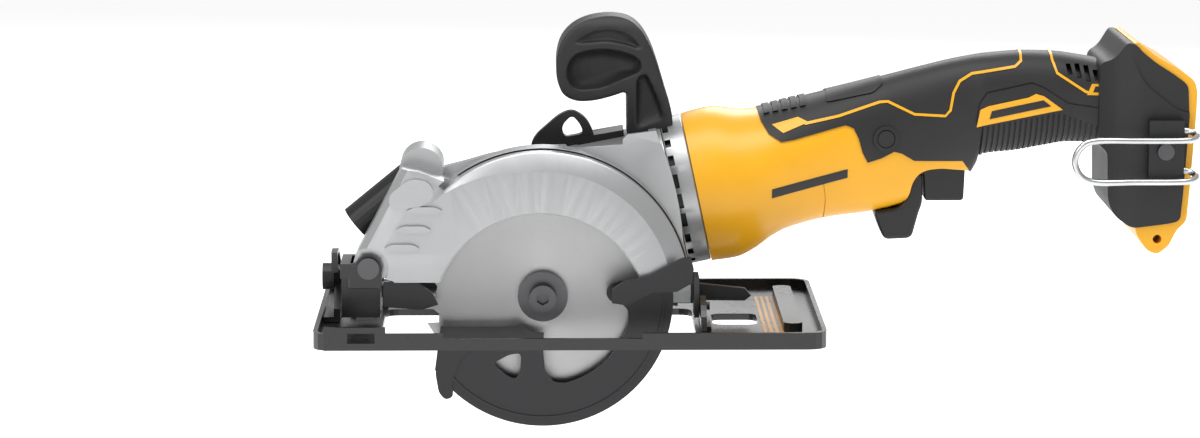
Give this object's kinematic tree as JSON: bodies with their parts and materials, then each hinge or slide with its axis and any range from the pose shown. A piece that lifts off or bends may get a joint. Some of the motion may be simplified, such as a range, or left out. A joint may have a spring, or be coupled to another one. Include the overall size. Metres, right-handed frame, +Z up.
{
  "type": "circular saw",
  "caption": "Compact inline cordless circular saw with a tilting, swinging shoe, sprung lower guard, palm handle on top and a battery foot behind the grip.",
  "frame": {"origin": "on the sole plane of the shoe, in the blade mid-plane, straight below the spindle; the bevel axis passes through it", "axes": "+X from the front of the saw to the battery foot, +Y from the blade to the motor side, +Z up, square to the sole"},
  "size_m": [0.4246, 0.15, 0.1925],
  "materials": {
    "yellow_housing": "fine moulded texture, semi-matt",
    "black_grip": "soft overmould, fine grain",
    "black_plastic": "moulded, matt",
    "satin_casting": "satin silver paint on a die casting",
    "dark_guard": "dark grey paint, satin",
    "blade_plate": "ground plate with circular grain",
    "machined_steel": "machined or ground",
    "shoe_paint": "black powder coat, satin",
    "copper": "copper colour, varnished",
    "zinc_wire": "bright zinc plate"
  },
  "bodies": {
    "saw_body": {"housing_left": "yellow_housing", "housing_right": "yellow_housing", "foot_trim": "yellow_housing", "grip_left": "black_grip", "grip_right": "black_grip", "auxiliary_handle": "black_grip", "trigger_guard": "black_plastic", "hook_block": "black_plastic", "dust_port": "black_plastic", "tether_loop": "black_plastic", "chip_deflector": "black_plastic", "terminal_block": "black_plastic", "switch_body": "black_plastic", "control_module": "black_plastic", "upper_guard": "satin_casting", "gear_case": "satin_casting", "motor_ring": "satin_casting", "spindle_bearing_outer": "machined_steel", "spindle_bearing_inner": "machined_steel", "jack_bearing_front": "machined_steel", "jack_bearing_rear": "machined_steel", "motor_bearing_front": "machined_steel", "motor_bearing_rear": "machined_steel", "guard_retainer": "machined_steel", "guard_spring": "machined_steel", "guard_screw": "machined_steel", "hook_screw": "machined_steel", "auxiliary_handle_bolt": "machined_steel", "depth_pivot_screw": "machined_steel", "trigger_spring": "machined_steel", "stator": "copper", "battery_terminals": "copper", "belt_hook": "zinc_wire"},
    "blade_drive": {"spindle": "machined_steel", "spindle_gear": "machined_steel", "inner_flange": "machined_steel", "blade": "blade_plate", "outer_flange": "machined_steel", "blade_bolt": "machined_steel"},
    "jack": {"jack_shaft": "machined_steel", "jack_gear": "machined_steel", "bevel_pinion": "machined_steel"},
    "rotor": {"rotor_shaft": "machined_steel", "rotor_core": "machined_steel", "fan": "black_plastic"},
    "guard": {"lower_guard": "dark_guard", "guard_lever": "dark_guard"},
    "trigger_body": {"trigger": "black_plastic"},
    "lock_off": {"lock_off_button": "black_plastic"},
    "spindle_lock": {"spindle_lock_button": "black_plastic"},
    "tilt_frame": {"front_bracket": "shoe_paint", "depth_arc": "shoe_paint"},
    "depth_clamp": {"depth_lever": "black_plastic"},
    "bevel_clamp": {"bevel_lever": "black_plastic"},
    "shoe_body": {"shoe": "shoe_paint", "front_trunnion": "shoe_paint", "rear_trunnion": "shoe_paint"},
    "fence_clamp": {"fence_screw": "black_plastic"}
  },
  "joints": [
    {"name": "blade_spin", "type": "hinge", "parent": "saw_body", "child": "blade_drive", "pos_m": [0, 0, 0.0185], "axis": [0, 1, 0], "continuous": true},
    {"name": "jack_spin", "type": "hinge", "parent": "saw_body", "child": "jack", "pos_m": [0, 0.052, 0.0185], "axis": [0.9781, 0, 0.2079], "continuous": true},
    {"name": "rotor_spin", "type": "hinge", "parent": "saw_body", "child": "rotor", "pos_m": [-0.00585, 0.052, 0.04601], "axis": [0.9781, 0, 0.2079], "continuous": true},
    {"name": "guard_swing", "type": "hinge", "parent": "saw_body", "child": "guard", "pos_m": [0, 0, 0.0185], "axis": [0, -1, 0], "range_deg": [0, 105], "stiffness_Nm_per_rad": 0.12, "springref_deg": -45.84},
    {"name": "trigger_pull", "type": "hinge", "parent": "saw_body", "child": "trigger_body", "pos_m": [0.1845, 0.052, 0.077], "axis": [0, -1, 0], "range_deg": [0, 10], "stiffness_Nm_per_rad": 1.5, "springref_deg": -5.73, "deforming": ["trigger_spring"]},
    {"name": "lock_off_slide", "type": "slide", "parent": "saw_body", "child": "lock_off", "axis": [0, 1, 0], "range_m": [0, 0.0035], "stiffness_N_per_m": 500, "springref_m": -0.002},
    {"name": "spindle_lock_press", "type": "slide", "parent": "saw_body", "child": "spindle_lock", "axis": [0, 0, -1], "range_m": [0, 0.003], "stiffness_N_per_m": 500, "springref_m": -0.002},
    {"name": "depth_swing", "type": "hinge", "parent": "saw_body", "child": "tilt_frame", "pos_m": [-0.083, 0, 0.034], "axis": [0, 1, 0], "range_deg": [0, 26]},
    {"name": "bevel_tilt", "type": "hinge", "parent": "tilt_frame", "child": "shoe_body", "pos_m": [0, 0, 0], "axis": [-1, 0, 0], "range_deg": [0, 50]},
    {"name": "depth_lever_turn", "type": "hinge", "parent": "saw_body", "child": "depth_clamp", "pos_m": [0.0603, 0.017, 0.02], "axis": [0, -1, 0], "range_deg": [0, 35]},
    {"name": "bevel_lever_turn", "type": "hinge", "parent": "tilt_frame", "child": "bevel_clamp", "pos_m": [-0.103, 0.0276, 0.0231], "axis": [1, 0, 0], "range_deg": [0, 50]},
    {"name": "fence_screw_turn", "type": "hinge", "parent": "shoe_body", "child": "fence_clamp", "pos_m": [-0.0855, 0.059, 0.015], "axis": [0, 0, 1], "range_deg": [0, 350]}
  ],
  "couplings": [
    {"joint": "jack_spin", "follows": "blade_spin", "ratio": 1.3529},
    {"joint": "rotor_spin", "follows": "blade_spin", "ratio": -4.7353}
  ]
}
